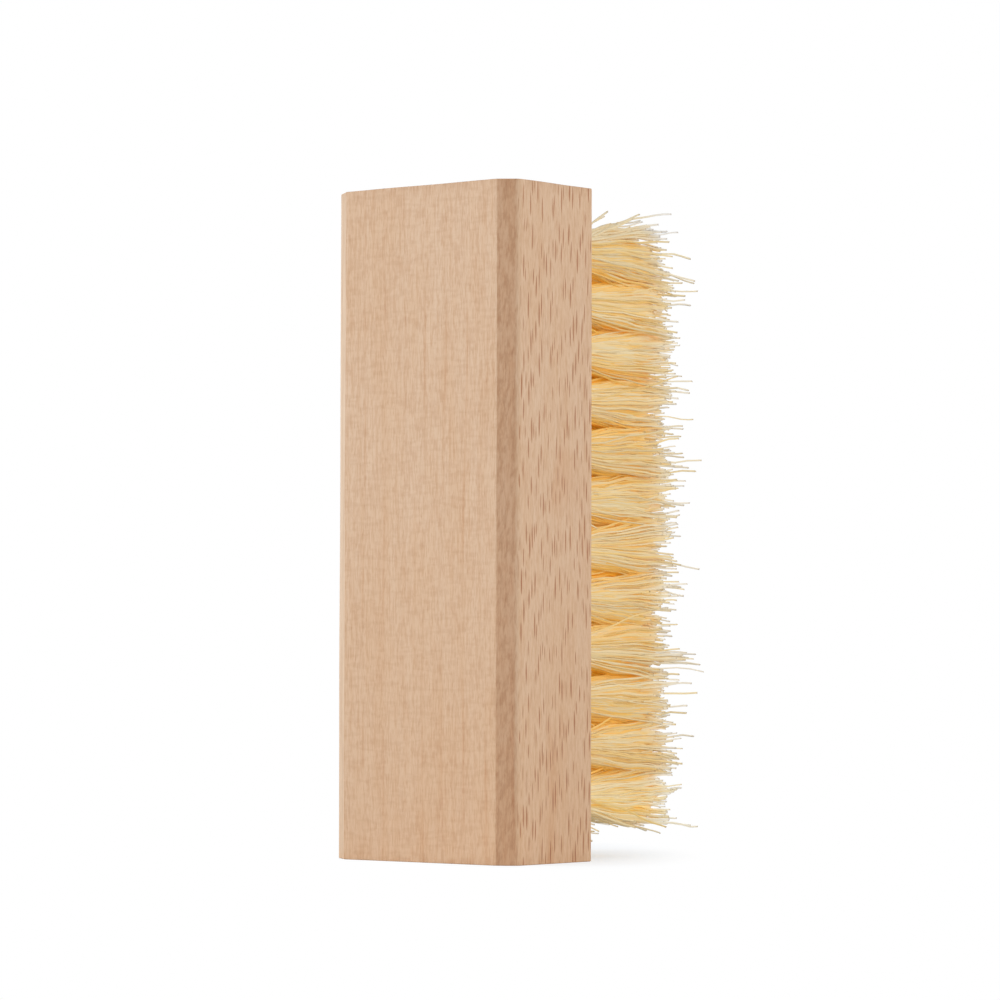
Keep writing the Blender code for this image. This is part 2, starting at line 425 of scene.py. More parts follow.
def wrap_patch():
    """The long skin: every outline point of the back and sides, at every height."""
    base, out, radius = (part[:path_points] for part in (outline_base, outline_out, outline_radius))
    z = np.broadcast_to(z_stops[:, None], (len(z_stops), path_points))
    points = skin(base, out, radius, 0.0, z)
    steps = np.linalg.norm(np.diff(points[0, :, :2], axis=0), axis=1)
    along = np.concatenate([[0], np.cumsum(steps)])
    uv = np.stack(np.broadcast_arrays(along[None, :], z), axis=-1)
    wear_and_shade = np.broadcast_to(EDGE_WEAR * outline_mark[:path_points], z.shape).copy()
    # The eased ends get wear and painted shade
    wear_and_shade[0] = wear_and_shade[-1] = SAWN_CORNER_WEAR_AND_SHADE
    return points, uv, wear_and_shade, grid_quads(*z.shape)


def end_patch(upper):
    """One end: rings that turn a quarter circle inwards, then shrink to the middle of the end face."""
    turn = np.linspace(0, math.pi / 2, 6)
    inset, drop = END_ROUND * (1 - np.cos(turn)), END_ROUND * (1 - np.sin(turn))
    base, out, radius = (
        np.concatenate([part, part[:1]]) for part in (outline_base, outline_out, outline_radius)
    )
    height = BLOCK_LENGTH - drop if upper else drop
    z = np.broadcast_to(height[:, None], (len(turn), len(base)))
    rings = skin(base, out, radius, inset[:, None], z)
    middle = np.array([0.0, 0.0, BLOCK_LENGTH if upper else 0.0])
    cap = middle + np.array(CAP_SHARES)[:, None, None] * (rings[-1] - middle)
    points = np.concatenate([rings, cap])
    # The rounded end gets wear and painted shade, its flat middle none
    wear_and_shade = np.full(points.shape[:2], SAWN_CORNER_WEAR_AND_SHADE)
    wear_and_shade[len(turn) :] = 0.0
    faces = grid_quads(*points.shape[:2])
    return points, points[..., :2].copy(), wear_and_shade, faces if upper else faces[:, ::-1]


# %% Drilled cells
# Where the wall of a hole lies in its corner of the sheet: its cell, its width and its three depths
WALL_CELL, WALL_WIDTH, WALL_DEPTHS = (4.3, 6.2), 3.6, (0.0, 4.5, 5.4)
FLAT_SHARE = 0.6


def cell_rings(radii, depths):
    """Round rings in every cell, from the mouth down, as an array of cell, ring, step, xyz."""
    steps = 4 * CELL_STEPS
    angle = math.radians(-135) + 2 * math.pi * np.arange(steps + 1) / steps
    centre_x, centre_z = (c.ravel() for c in np.meshgrid(row_x, column_z, indexing="ij"))
    radii, depths = np.array(radii), np.array(depths)
    x = centre_x[:, None, None] + radii[None, :, None] * np.cos(angle)
    z = centre_z[:, None, None] + radii[None, :, None] * np.sin(angle)
    y = np.broadcast_to(FRONT - depths[None, :, None], x.shape)
    return np.stack([x, y, z], axis=-1)


def cell_borders():
    """The rectangle round every hole, from its lower left corner back to it, as one ring each."""
    rise, one = np.arange(CELL_STEPS) / CELL_STEPS, np.ones(CELL_STEPS)
    across = np.concatenate([rise, one, 1 - rise, 0 * one, [0]])
    along = np.concatenate([0 * one, rise, one, 1 - rise, [0]])
    x = x_lines[:-1, None, None] + across * np.diff(x_lines)[:, None, None]
    z = z_lines[:-1, None] + along * np.diff(z_lines)[:, None]
    x, z = np.broadcast_arrays(x, z)
    return np.stack([x, np.full(x.shape, FRONT), z], axis=-1).reshape(ROWS * COLUMNS, 1, -1, 3)


def drilled_patches():
    """The front face with its holes: flat cells with eased mouths, and the walls of the holes."""
    border = cell_borders()
    ease = np.linspace(0, math.pi / 2, 4)
    mouth_radii = HOLE_RADIUS + MOUTH_ROUND * (1 - np.sin(ease))
    mouth = cell_rings(mouth_radii, MOUTH_ROUND * (1 - np.cos(ease)))
    between = border + FLAT_SHARE * (mouth[:, :1] - border)
    face = np.concatenate([border, between, mouth], axis=1)
    wall = cell_rings([HOLE_RADIUS, HOLE_RADIUS, 0.0], [MOUTH_ROUND, HOLE_DEPTH, HOLE_DEPTH])
    round_share = np.linspace(0, WALL_WIDTH, wall.shape[2])
    wall_uv = np.stack(np.broadcast_arrays(round_share, np.array(WALL_DEPTHS)[:, None]), axis=-1)
    half_run = BLOCK_LENGTH / 2 - END_ROUND
    patches = []
    for index, (flat, deep) in enumerate(zip(face, wall)):
        to_side = np.abs(np.abs(flat[..., 0]) - inner_side)
        to_end = np.abs(np.abs(flat[..., 2] - BLOCK_LENGTH / 2) - half_run)
        wear_and_shade = np.where(np.minimum(to_side, to_end) < 1e-6, 1.0, 0.0)
        # Painted shade grows towards the mouth of each hole
        wear_and_shade[2:] = MOUTH_SHADE
        uv = flat[..., [0, 2]] + [inner_side, 0.0]
        patches.append((flat, uv, wear_and_shade, grid_quads(*flat.shape[:2])[:, ::-1], "front"))
        cell = np.array([index % ROWS, index // ROWS]) * WALL_CELL
        faces = grid_quads(*deep.shape[:2])[:, ::-1]
        patches.append((deep, wall_uv + cell, np.zeros(deep.shape[:2]), faces, "wall"))
    return patches


# %% [markdown]
# The patches are laid side by side on one sheet, the piece's UV map, so that its pattern can be kept in
# a picture later. The walls of the holes get only a small corner of it, because the fibres hide them.

# %% Weld the block
SHEET_SIDE = 160.0
SAWN_DEPTH, SAWN_REACH = 0.025, 12.0
WELD_DISTANCE = 1e-6


def mesh_from_arrays(name, points, uv, quads, triangles=()):
    """A smooth mesh of whole arrays: points in millimetres, then the corners of all its faces."""
    corners = np.concatenate([quads.ravel(), np.ravel(triangles)]).astype(np.int32)
    starts = np.concatenate([np.arange(len(quads)) * 4, quads.size + np.arange(len(triangles)) * 3])
    mesh = bpy.data.meshes.new(name)
    mesh.vertices.add(len(points))
    mesh.vertices.foreach_set("co", (points * MM).astype(np.float32).ravel())
    mesh.loops.add(len(corners))
    mesh.loops.foreach_set("vertex_index", corners)
    mesh.polygons.add(len(starts))
    mesh.polygons.foreach_set("loop_start", starts.astype(np.int32))
    mesh.update(calc_edges=True)
    mesh.polygons.foreach_set("use_smooth", np.ones(len(starts), bool))
    mesh.uv_layers.new(name="OFBake").data.foreach_set("uv", uv.astype(np.float32).ravel())
    return mesh


def build_block():
    """All patches as one mesh: their points and faces end to end, then welded where they meet.

    Near the upper end each point is lowered by the depth of the saw's marks times two sines of its
    place, which fade out down the block.
    """
    wrap = wrap_patch()
    wrap_width = float(wrap[1][..., 0].max())
    above = BLOCK_LENGTH + BLOCK_THICKNESS / 2 + 1.5
    spots = {
        "wrap": (0.5, 0.0),
        "front": (wrap_width + 1.5, 0.0),
        "lower": (BLOCK_WIDTH / 2 + 1, above),
        "upper": (BLOCK_WIDTH * 1.5 + 3, above),
        "wall": (wrap_width + 2 * inner_side + 2.5, 0.5),
    }
    patches = [(*wrap, "wrap"), (*end_patch(False), "lower"), (*end_patch(True), "upper")]
    points, faces, corner_uv, wear_and_shade_values, count = [], [], [], [], 0
    for patch, uv, wear_and_shade, quads, kind in patches + drilled_patches():
        flat_uv = (uv.reshape(-1, 2) + spots[kind]) / SHEET_SIDE
        points.append(patch.reshape(-1, 3))
        faces.append(quads + count)
        corner_uv.append(flat_uv[quads.ravel()])
        wear_and_shade_values.append(wear_and_shade.ravel())
        count += len(points[-1])
    points, faces, corner_uv, wear_and_shade_values = map(np.concatenate, (points, faces, corner_uv, wear_and_shade_values))

    # The upper end was sawn by hand: its edge dips by up to a tenth of a millimetre
    lift = np.clip((points[:, 2] - BLOCK_LENGTH + SAWN_REACH) / SAWN_REACH, 0, 1) ** 2
    dip = np.sin(points[:, 0] / 3.7 + 0.5) + np.sin(points[:, 1] / 2.3) * 0.8
    points[:, 2] -= SAWN_DEPTH * lift * (dip + 1.8)

    mesh = mesh_from_arrays("beech_block", points, corner_uv, faces)
    mesh.attributes.new("wear_and_shade", "FLOAT", "POINT").data.foreach_set("value", wear_and_shade_values)
    work = bmesh.new()
    work.from_mesh(mesh)
    bmesh.ops.remove_doubles(work, verts=work.verts, dist=WELD_DISTANCE)
    open_edges = sum(len(edge.link_faces) != 2 for edge in work.edges)
    print("block:", len(work.faces), "faces, open edges:", open_edges)
    print("volume in cm3:", work.calc_volume() * 1e6, "sheet used:", corner_uv.max(0).round(3))
    work.to_mesh(mesh)
    work.free()
    block = add_object("beech_block", mesh)
    shading = block.modifiers.new("flat faces stay flat", "WEIGHTED_NORMAL")
    shading.mode = "FACE_AREA"
    shading.weight = 80
    return block


block = build_block()

# %% [markdown]
# # Beech
#
# Beech is easy to tell by its rays: thin ribbons of harder tissue that run from the heart of the tree
# to the bark. Cut across, they show as short dark dashes with pointed ends, 2 to 5 mm tall. On a face
# that lies along them they are only faint flecks. Here the side faces cut across the rays, and the wide
# back lies along them and shows the edges of the growth rings as thin upright lines.
#
# An image would be quicker, but the same pattern has to turn round the edges as it does in solid wood.
# So every mask reads the point in space: rays are flat in one direction, long in another, and the ring
# lines are planes. Cutting them with the block's own faces gives each face its own figure.

# %% Masks of beech wood
# Ray cells in millimetres across and up, their half lengths as shares, and where columns part
RAY_CELL, RAY_SIZES, RAY_PARTING = (0.74, 9.4), (0.16, 0.31), 0.28
RING_SPACING = 5.2


def mask_group(name, build):
    """A node group that reads a point in millimetres and puts out the masks that build names."""
    group = bpy.data.node_groups.new(name, "ShaderNodeTree")
    group.interface.new_socket("Point", in_out="INPUT", socket_type="NodeSocketVector")
    masks = build(group, group.nodes.new("NodeGroupInput").outputs["Point"])
    for mask in masks:
        group.interface.new_socket(mask, in_out="OUTPUT", socket_type="NodeSocketFloat")
    end = group.nodes.new("NodeGroupOutput")
    for mask, value in masks.items():
        group.links.new(value, end.inputs[mask])
    return group


def ray_masks(group, point):
    """Ribbons that are long in x: spindle-shaped cells across y and z, bent a little along x.

    Each column of cells has a height of its own at random, because level cells would show as rows.
    """
    split = add_node(group, "SeparateXYZ", {0: point}).outputs
    bend = noise(group, scaled(group, point, (0.22, 0.1, 0.02)), detail=1.0)
    across = math_node(group, "MULTIPLY_ADD", bend, 3.0, split[1])
    across = times(group, across, 1 / RAY_CELL[0])
    column = math_node(group, "FLOOR", math_node(group, "ADD", across, RAY_PARTING))
    shift = add_node(group, "TexWhiteNoise", {"W": column}, noise_dimensions="1D")
    up = math_node(group, "ADD", times(group, split[2], 1 / RAY_CELL[1]), shift)
    cells = add_node(group, "CombineXYZ", {0: across, 1: up})
    inputs = {"Vector": cells, "Scale": 1.0, "Exponent": 1.5, "Randomness": 0.45}
    kind = {"voronoi_dimensions": "2D", "distance": "MINKOWSKI", "feature": "F1"}
    spots = add_node(group, "TexVoronoi", inputs, **kind)
    chance = add_node(group, "SeparateColor", {0: spots.outputs["Color"]}).outputs
    size = smooth_step(group, chance[0], 0.0, 1.0, *RAY_SIZES)
    nearness = math_node(group, "DIVIDE", spots.outputs["Distance"], size)
    body, strength = smooth_step(group, nearness, 1.0, 0.78), smooth_step(group, chance[1], 0.12, 0.4)
    core, rare = smooth_step(group, nearness, 0.7, 0.2), smooth_step(group, chance[2], 0.72, 0.9)
    return {"Dash": times(group, body, strength), "Dark": times(group, core, rare)}


def streak_masks(group, point):
    """Fine grain along z: short hairs, long strands, pores and slow bands. Flecks lie across it."""
    # Name: how fine the noise is in x, y and z, its detail and its roughness
    streaks = {
        "Hair": ((3.8, 3.8, 0.45), 2.0, 0.6),
        "Strand": ((1.4, 1.4, 0.05), 2.0, 0.5),
        "Pores": ((4.4, 4.4, 0.55), 1.0, 0.5),
        "Bands": ((0.16, 0.16, 0.03), 2.0, 0.5),
        "Fleck": ((0.3, 0.5, 1.1), 2.0, 0.5),
    }
    masks = {
        name: noise(group, scaled(group, point, fine), detail, roughness)
        for name, (fine, detail, roughness) in streaks.items()
    }
    return masks | {"Pores": smooth_step(group, masks["Pores"], 0.6, 0.76)}


def ring_masks(group, point):
    """Growth rings as slightly wavy planes across x: slow darkening, then a sharp thin line."""
    split = add_node(group, "SeparateXYZ", {0: point}).outputs
    sway = noise(group, scaled(group, point, (0.03, 0.05, 0.008)))
    place = times(group, split[0], 1 / RING_SPACING)
    place = math_node(group, "MULTIPLY_ADD", sway, 1.2, place)
    place = math_node(group, "MULTIPLY_ADD", split[2], 0.0015, place)
    share = math_node(group, "FRACT", place)
    rise, fall = smooth_step(group, share, 0.84, 0.95), smooth_step(group, share, 1.0, 0.96)
    shown = noise(group, scaled(group, point, (0.07, 0.07, 0.035)))
    shown = smooth_step(group, shown, 0.44, 0.6)
    return {"Line": times(group, rise, fall, shown), "Late": smooth_step(group, share, 0.2, 1.0)}


RAYS = mask_group("beech rays", ray_masks)
GRAIN = mask_group("long grain", streak_masks)
RINGS = mask_group("growth rings", ring_masks)
print("mask groups:", [group.name for group in (RAYS, GRAIN, RINGS)])

# %% Beech material
BEECH, BEECH_PAINTED_HIGHLIGHT = linear(215, 184, 154), linear(234, 209, 182)
TO_MM = (1 / MM,) * 3


def make_beech():
    """The wood's colour: its plain tone under layers of masks, each with the tint where it is 1.

    The face's own direction says which masks count: the rays on the two sides, flecks on the wide
    back, a painted highlight on the left chamfer, and painted shade with mottling on the right one.
    """
    material, tree, shader = new_material("beech_wood", 0.6)
    place = add_node(tree, "TexCoord")
    point = scaled(tree, place.outputs["Object"], TO_MM)
    rays, grain, rings = (
        add_node(tree, "Group", {"Point": point}, node_tree=group).outputs
        for group in (RAYS, GRAIN, RINGS)
    )
    to_right = add_node(tree, "SeparateXYZ", {0: place.outputs["Normal"]}).outputs[0]
    height = add_node(tree, "SeparateXYZ", {0: point}).outputs[2]

    def step(value, *limits):
        return smooth_step(tree, value, *limits)

    # Which way the skin faces: the two sides, the wide back and the two chamfers
    sideways = math_node(tree, "ABSOLUTE", to_right)
    on_side, on_back = step(sideways, 0.72, 0.97), step(sideways, 0.7, 0.3)
    on_right = times(tree, step(to_right, 0.25, 0.5), step(to_right, 0.86, 0.6))
    on_left = times(tree, step(to_right, -0.25, -0.5), step(to_right, -0.93, -0.68))
    # Painted highlight on the left chamfer, streaked along the grain
    pale = times(tree, on_left, step(grain["Strand"], 0.3, 0.6, 0.15, 0.7))

    tilted = add_node(tree, "VectorRotate", {0: point, "Angle": 0.25}, rotation_type="X_AXIS")
    mottle = noise(tree, scaled(tree, tilted, (0.9, 0.9, 0.26)), 3.0, 0.65)
    wear_and_shade_mask = add_node(tree, "Attribute", attribute_name="wear_and_shade").outputs["Fac"]
    wear_and_shade_patches = noise(tree, scaled(tree, point, (0.6, 0.6, 0.25)))
    layers = [
        (step(grain["Hair"], 0.4, 0.66), (0.91, 0.845, 0.80)),
        (step(grain["Strand"], 0.4, 0.7), (0.975, 0.945, 0.91)),
        (step(grain["Bands"], 0.35, 0.7), (0.98, 0.95, 0.91)),
        (times(tree, grain["Pores"], 0.6), (0.84, 0.74, 0.67)),
        (times(tree, step(grain["Fleck"], 0.45, 0.65), on_back), (0.955, 0.93, 0.91)),
        (times(tree, rings["Line"], 0.42), (0.88, 0.72, 0.58)),
        (times(tree, rings["Late"], 0.3), (0.96, 0.94, 0.92)),
        (on_side, (1.02, 1.006, 0.988)),
        # Painted shade: the right chamfer is darker
        (on_right, (0.92, 0.83, 0.76)),
        # Painted highlight: the left chamfer is paler
        (pale, BEECH_PAINTED_HIGHLIGHT, "MIX"),
        # A mottled pattern, painted as further shade on the right chamfer
        (times(tree, step(mottle, 0.42, 0.66), on_right), (0.85, 0.78, 0.71)),
        (times(tree, rays["Dash"], on_side), (0.65, 0.44, 0.32)),
        (times(tree, rays["Dark"], on_side), (0.86, 0.74, 0.68)),
        # Edges are a little darker from handling wear, the eased ends from wear and painted shade,
        # and the hole mouths from painted shade
        (times(tree, wear_and_shade_mask, step(wear_and_shade_patches, 0.3, 0.7), 0.5), (0.80, 0.70, 0.60)),
        # Painted shade: darker towards the lower end
        (step(height, 70.0, 0.0), (0.96, 0.93, 0.89)),
    ]
    tree.links.new(layered(tree, BEECH, layers), shader.inputs["Base Color"])
    tree.links.new(step(grain["Hair"], 0.3, 0.7, 0.52, 0.68), shader.inputs["Roughness"])
    relief = math_node(tree, "ADD", grain["Hair"], times(tree, grain["Pores"], -0.5))
    bump = add_node(tree, "Bump", {"Height": relief, "Strength": 0.25, "Distance": 0.0001})
    tree.links.new(bump.outputs[0], shader.inputs["Normal"])
    return material


beech = make_beech()
block.data.materials.append(beech)
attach(block, "root")
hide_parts("wood_block")
print("beech:", len(beech.node_tree.nodes), "nodes")

# %% [markdown]
# # The tufts
#
# Each hole holds a bundle of plant fibre, folded in half over a wire. At the root the fibres are packed
# tight. They spread out until they meet their neighbours, and near the tips they stick together in
# small pointed locks. They are stiff but not straight. The field splays a little along its length,
# and at its two ends fibres also stand off, alone or in bundles. A real fibre is about 0.3 mm thick.
# These are about 0.4 mm, so that fewer of them fill a tuft.
#
# Blender's hair would draw this quickly, but it isn't a mesh and it wouldn't be exported. So every
# fibre is a thin tube of three sides along its own line, and a tuft's lines are computed as one array:
# place in the root, spread, lean, lock and waves are functions of how far out the point is.

# %% How a tuft spreads and leans
TRIM, SUNK = 28.0, 1.5
ROOT_RADIUS, SPREAD, SPREAD_REACH = 2.4, 3.3, 0.36
SIDE_LEAN, FIELD_SPLAY, END_LEAN, LEAN_POWER = 1.2, 1.3, (-0.9, -2.0), 1.6
CORE_SQUASH, END_SQUASH = (0.95, 0.8), (0.95, 1.0)
BOTTOM_LIMIT, TOP_LIMIT, LIMIT_SOFTNESS = 1.5, 130.2, 4.0


def smooth(value, start, end):
    """Runs smoothly from 0 to 1 while value goes from start to end."""
    share = np.clip((value - start) / (end - start), 0, 1)
    return share * share * (3 - 2 * share)


def bundle_radius(reach):
    """Radius of the spreading tuft: fast near the root, and level where it meets its neighbours."""
    return ROOT_RADIUS + SPREAD * (1 - np.exp(-np.maximum(reach, 0) / SPREAD_REACH))


def squareness(angle, reach):
    """How much further out a corner lies than a side: tufts press each other square as they spread."""
    longest = np.maximum(np.abs(np.cos(angle)), np.abs(np.sin(angle)))
    return (1 / longest) ** (0.55 * smooth(reach, 0.15, 0.9))


def field_lean(row, column, reach):
    """How far a tuft's middle leans: the outer rows lean out, and the field splays along its length.

    The splay grows evenly from the middle of the field, and END_LEAN holds its end tufts back.
    """
    across = (2 * row / (ROWS - 1) - 1) ** 5 * SIDE_LEAN
    place = 2 * column / (COLUMNS - 1) - 1
    along = place * FIELD_SPLAY + place**5 * (END_LEAN[1] if place > 0 else END_LEAN[0])
    bend = np.maximum(reach, 0) ** LEAN_POWER
    return across * bend, along * bend


def squash_end(z, column, shares):
    """Flattens the outer half of an end tuft."""
    if column == COLUMNS - 1:
        return np.where(z > 0, z * shares[1], z)
    return np.where(z < 0, z * shares[0], z) if column == 0 else z


# %% Lines of the fibres
# How many fibres a tuft has, and of how many one lies on its skin, at the rim and inside
RIM_FIBRES, INNER_FIBRES = (440, 4), (480, 5)
GOLDEN_ANGLE = 2.399963
FIBRES_PER_LOCK = 16
# The share of the fibres that go their own way, and how far in millimetres
STRAY, SHORT, STUB = (0.055, 2.0, 9.5), (0.08, 1.0, 6.0), (0.10, 7.0, 19.0)
CROSSING, BUNDLE, LOOSE = (0.08, 1.6, 3.4), (0.26, 0.6, 2.2), (0.06, 1.0, 3.2)
STUB_RISE = (1.0, 5.5)
# The lower end sheds less than the upper one: how far its bundles and its stubs stand off
LOWER_SHED, LOWER_STUBS = 0.3, 0.4
FREE_TONE = 0.2


def some(chance, count, share, low, high):
    """A random amount for the given share of the items, and 0 for the others."""
    return (chance.random(count) < share) * chance.uniform(low, high, count)


def lock_members(spot, chance):
    """The number of each fibre's lock, how many locks there are, and the middle of its lock."""
    picked = spot[chance.choice(len(spot), len(spot) // FIBRES_PER_LOCK, replace=False)]
    lock = np.argmin(((spot[:, None] - picked[None]) ** 2).sum(2), axis=1)
    locks = len(picked)
    members = np.maximum(np.bincount(lock, minlength=locks), 1)
    centre = np.stack([np.bincount(lock, spot[:, k], locks) / members for k in (0, 1)], axis=1)
    return lock, locks, centre[lock]


def fibre_lines(row, column, chance):
    """One tuft's lines as arrays of fibre and station: x, outwards y, z, reach, and each one's tone.

    The roots lie on a sunflower spiral. A point is its root's place times the bundle's radius, drawn
    towards its lock's middle near the tip, plus swings, waves and the tuft's lean.
    """
    at_end = column in (0, COLUMNS - 1)
    rim = at_end or row in (0, ROWS - 1)
    count, on_skin = RIM_FIBRES if rim else INNER_FIBRES
    order = np.arange(count) + 0.5
    angle = order * GOLDEN_ANGLE + chance.normal(0, 0.15, count)
    radius = np.where(order % on_skin < 1, chance.uniform(0.94, 1.05, count), (order / count) ** 0.47)
    spot = np.stack([radius * np.cos(angle), radius * np.sin(angle)], axis=1)
    lock, locks, centre = lock_members(spot, chance)

    # Lengths: shared within a lock, then a little of each fibre's own, and some that stand out
    length = TRIM - 2.7 + chance.normal(0, 1.7, locks)[lock] + chance.normal(0, 1.4, count)
    length += some(chance, count, *STRAY)
    length -= some(chance, count, *SHORT)

    # At both ends of the field a few short fibres stand off steeply
    way = 1.0 if column else -1.0
    outward = spot[:, 1] * way
    stub = (chance.random(count) < STUB[0]) & (outward > 0.5) & at_end
    length = np.where(stub, chance.uniform(*STUB[1:], count), length)

    # A fibre that the core would hide starts two thirds of the way out
    seen_whole = (radius > 0.86) | ((outward > 0.3) & at_end)
    start = np.where(seen_whole, -SUNK, 0.66 * TRIM)[:, None]
    stations = 14 if at_end else 10 if rim else 8
    share = np.linspace(0.0, 1.0, stations) ** 0.93
    out = start + (length[:, None] - start) * share[None, :]
    out = np.concatenate([out[:, :-1], out[:, -1:] - 0.5, out[:, -1:]], axis=1)
    reach = out / TRIM

    width = bundle_radius(reach) * squareness(angle[:, None], reach)
    ahead = np.maximum(reach, 0)
    hold = 0.35 * smooth(reach, 0.6, 1.05)
    path = []
    for k in (0, 1):
        line = (spot[:, k, None] + hold * (centre[:, k, None] - spot[:, k, None])) * width
        line = line + ahead**1.5 * chance.normal(0, 0.75, locks)[lock][:, None]
        path.append(line + ahead**1.3 * chance.normal(0, 0.35, count)[:, None])

    # A few fibres cross over their neighbours at an angle
    crossing = (chance.random(count) < CROSSING[0])[:, None] * ahead
    for k in (0, 1):
        path[k] = path[k] + crossing * chance.normal(0, CROSSING[1 + k], count)[:, None]

    # Waves: one that the lock shares and one of the fibre's own
    fade = smooth(reach, 0.0, 0.25)
    for k in (0, 1):
        for size, owner, low, high in ((0.16, lock, 10, 18), (0.1, np.arange(count), 7, 13)):
            many = owner.max() + 1
            wave = 2 * math.pi / chance.uniform(low, high, many)[owner][:, None]
            phase = chance.uniform(0, 2 * math.pi, many)[owner][:, None]
            path[k] = path[k] + size * fade * np.sin(out * wave + phase)

    lean_x, lean_z = field_lean(row, column, reach)
    x, z = path[0] + lean_x, squash_end(path[1], column, END_SQUASH) + lean_z

    # The tufts at both ends shed bundles and single fibres that stand away from the field
    apart = stub
    if at_end:
        shed, lift = (1.0, 1.0) if column else (LOWER_SHED, LOWER_STUBS)
        bundle = some(chance, locks, *BUNDLE)[lock] * (outward > 0.45)
        loose = some(chance, count, *LOOSE) * (outward > 0.45)
        rise = stub * chance.uniform(*STUB_RISE, count) * lift
        z = z + way * shed * bundle[:, None] * ahead**1.3
        z = z + way * shed * loose[:, None] * ahead
        z = z + way * rise[:, None] * np.clip(out / length[:, None], 0, 1) ** 1.3
        apart = stub | (bundle > 0) | (loose > 0)

    # No fibre touches the floor, and those at the top bend over softly below a height
    axis_z = tuft_axes[row, column][1]
    z = np.maximum(z, BOTTOM_LIMIT - axis_z)
    over = np.maximum(z - (TOP_LIMIT - LIMIT_SOFTNESS - axis_z), 0)
    z = z - over + LIMIT_SOFTNESS * (1 - np.exp(-over / LIMIT_SOFTNESS))
    return x, out, z, reach, chance.random(count) * np.where(apart, FREE_TONE, 1.0)


# %% Tubes
# Fibres are three-sided. On the sheet they stand in rows of 60, below a strip for the core
FIBRE_RADIUS, FIBRE_SIDES = 0.19, 3
SHEET_COLUMNS, FIBRE_SHEET, CORE_SHEET = 60, 0.85, (0.86, 0.99)


def tube_points(lines, radius, turn):
    """Three points round each station of each line, in the plane across the line."""
    ahead = np.gradient(lines, axis=1)
    ahead /= np.linalg.norm(ahead, axis=2, keepdims=True)
    guide = np.stack([np.cos(turn), np.zeros_like(turn), np.sin(turn)], axis=1)[:, None]
    sideways = guide - (guide * ahead).sum(2, keepdims=True) * ahead
    sideways /= np.linalg.norm(sideways, axis=2, keepdims=True)
    other = np.cross(ahead, sideways)
    angle = (2 * math.pi * np.arange(FIBRE_SIDES) / FIBRE_SIDES)[:, None]
    ring = np.cos(angle) * sideways[:, :, None] + np.sin(angle) * other[:, :, None]
    return lines[:, :, None] + radius[:, None, None, None] * ring


def tube_faces(fibres, stations):
    """Quads along the three sides and a triangle on each end, for all tubes at once."""
    first = np.arange(fibres)[:, None] * stations * FIBRE_SIDES
    last = first + (stations - 1) * FIBRE_SIDES
    quads = first[..., None, None] + ring_quads(stations, FIBRE_SIDES)
    return quads.reshape(-1, 4), np.concatenate([first + [[0, 2, 1]], last + [[0, 1, 2]]])


def face_uv(*corners):
    """The places of the faces' corners on the sheet, given as u and v of each corner in turn."""
    return np.stack(np.broadcast_arrays(*corners), axis=-1)


def strip_uv(fibres, stations):
    """Each fibre has its own upright strip of the sheet, which its three sides share."""
    row, column = (part[:, None] for part in np.divmod(np.arange(fibres), SHEET_COLUMNS))
    left, middle, right = ((column + share) / SHEET_COLUMNS for share in (0.2, 0.5, 0.8))
    height = (row + np.linspace(0.02, 0.98, stations)) / (row.max() + 1) * FIBRE_SHEET
    low, high = height[:, :-1], height[:, 1:]
    quads = face_uv(left, low, right, low, right, high, left, high)
    ends = face_uv(middle, height[:, [0, -1]]).swapaxes(0, 1)
    quads, ends = np.repeat(quads, FIBRE_SIDES, axis=1), np.repeat(ends, FIBRE_SIDES, axis=1)
    return quads.reshape(-1, 2), ends.reshape(-1, 2)


# %% [markdown]
# A real tuft holds hundreds of fibres that nobody sees. A ridged core stands for them, just under the
# outermost fibres. It parts into locks near the tips, where the inner fibres' loose ends cover it.

# %% Core of a tuft
CORE_SIDES, CORE_LOCKS, CORE_SHARE = 144, 24, 0.95
# The core's rings, as shares of a lock's length. The first one lies inside the hole
CORE_LEVELS = (-0.05, 0.02, 0.08, 0.15, 0.22, 0.3, 0.38, 0.46)
CORE_LEVELS += (0.54, 0.62, 0.7, 0.78, 0.85, 0.91, 0.96, 1.0)
TONE_LENGTHS = 6


